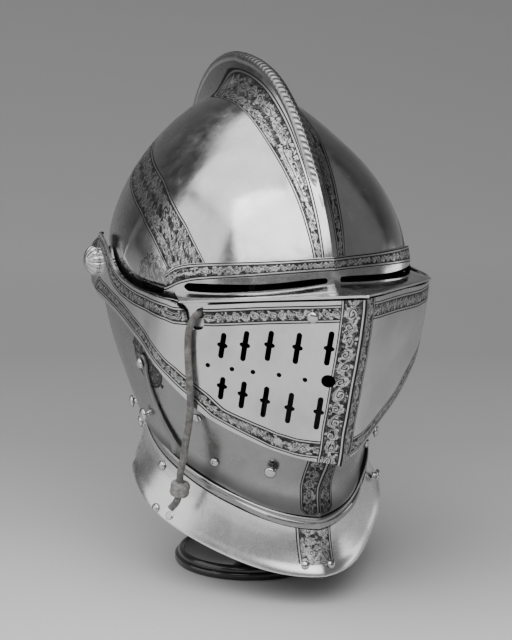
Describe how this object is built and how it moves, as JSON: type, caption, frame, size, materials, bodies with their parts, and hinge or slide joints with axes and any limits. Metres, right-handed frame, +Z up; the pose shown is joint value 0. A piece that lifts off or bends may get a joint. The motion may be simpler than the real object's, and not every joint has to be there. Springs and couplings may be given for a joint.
{
  "type": "close helmet on display stand",
  "caption": "Close helmet of polished steel with roped comb, etched bands, hinged visor, upper and lower bevor with breaths, gorget, hanging lace, on a dark turned foot.",
  "frame": {"origin": "middle of the bounding box, on the floor under the foot", "axes": "+Z up, -Y the way the face looks, +X the wearer's left"},
  "size_m": [0.1898, 0.2728, 0.327],
  "materials": {
    "steel": "polished, with etched and blackened bands",
    "dark_steel": "dark worn steel",
    "leather": "worn greyed hide",
    "stand": "dark polished lacquer"
  },
  "bodies": {
    "skull_and_stand": {"skull": "steel", "gorget_rear": "steel", "nape_stud_right": "steel", "stand_foot": "stand", "stand_post": "stand"},
    "lower_bevor": {"lower_bevor": "steel", "gorget_front": "steel", "jaw_rivet_right": "steel", "jaw_rivet_left": "steel", "jaw_flush_rivet": "steel", "pierced_stud": "steel", "jaw_stud_right": "steel", "jaw_stud_left": "steel", "gorget_rivet_right": "steel", "gorget_low_rivet_right": "steel", "gorget_flush_rivet": "steel", "panel_rivet_right": "steel", "panel_rivet_left": "steel", "gorget_stud_left": "steel", "hook_rivet": "steel"},
    "upper_bevor": {"upper_bevor": "steel", "pivot_rosette_right": "steel", "pivot_rosette_left": "steel", "bevor_dome_rivet": "steel", "bevor_band_rivet": "steel"},
    "visor": {"visor": "steel", "lace": "leather", "toggle": "leather"},
    "hook": {"hook": "dark_steel"},
    "catch": {"catch_stud": "steel"}
  },
  "joints": [
    {"name": "lower_bevor_pivot", "type": "hinge", "parent": "skull_and_stand", "child": "lower_bevor", "pos_m": [0, 0.0696, 0.196], "axis": [-1, 0, 0], "range_deg": [0, 35]},
    {"name": "upper_bevor_pivot", "type": "hinge", "parent": "lower_bevor", "child": "upper_bevor", "pos_m": [0, 0.0696, 0.196], "axis": [-1, 0, 0], "range_deg": [0, 28]},
    {"name": "visor_pivot", "type": "hinge", "parent": "upper_bevor", "child": "visor", "pos_m": [0, 0.0696, 0.196], "axis": [-1, 0, 0], "range_deg": [0, 32]},
    {"name": "hook_swivel", "type": "hinge", "parent": "lower_bevor", "child": "hook", "pos_m": [-0.0894, -0.0134, 0.1473], "axis": [-0.9656, 0, -0.2602], "range_deg": [0, 20]},
    {"name": "catch_push", "type": "slide", "parent": "lower_bevor", "child": "catch", "axis": [0.6396, 0.6895, 0.3398], "range_m": [0, 0.0025], "stiffness_N_per_m": 300}
  ]
}
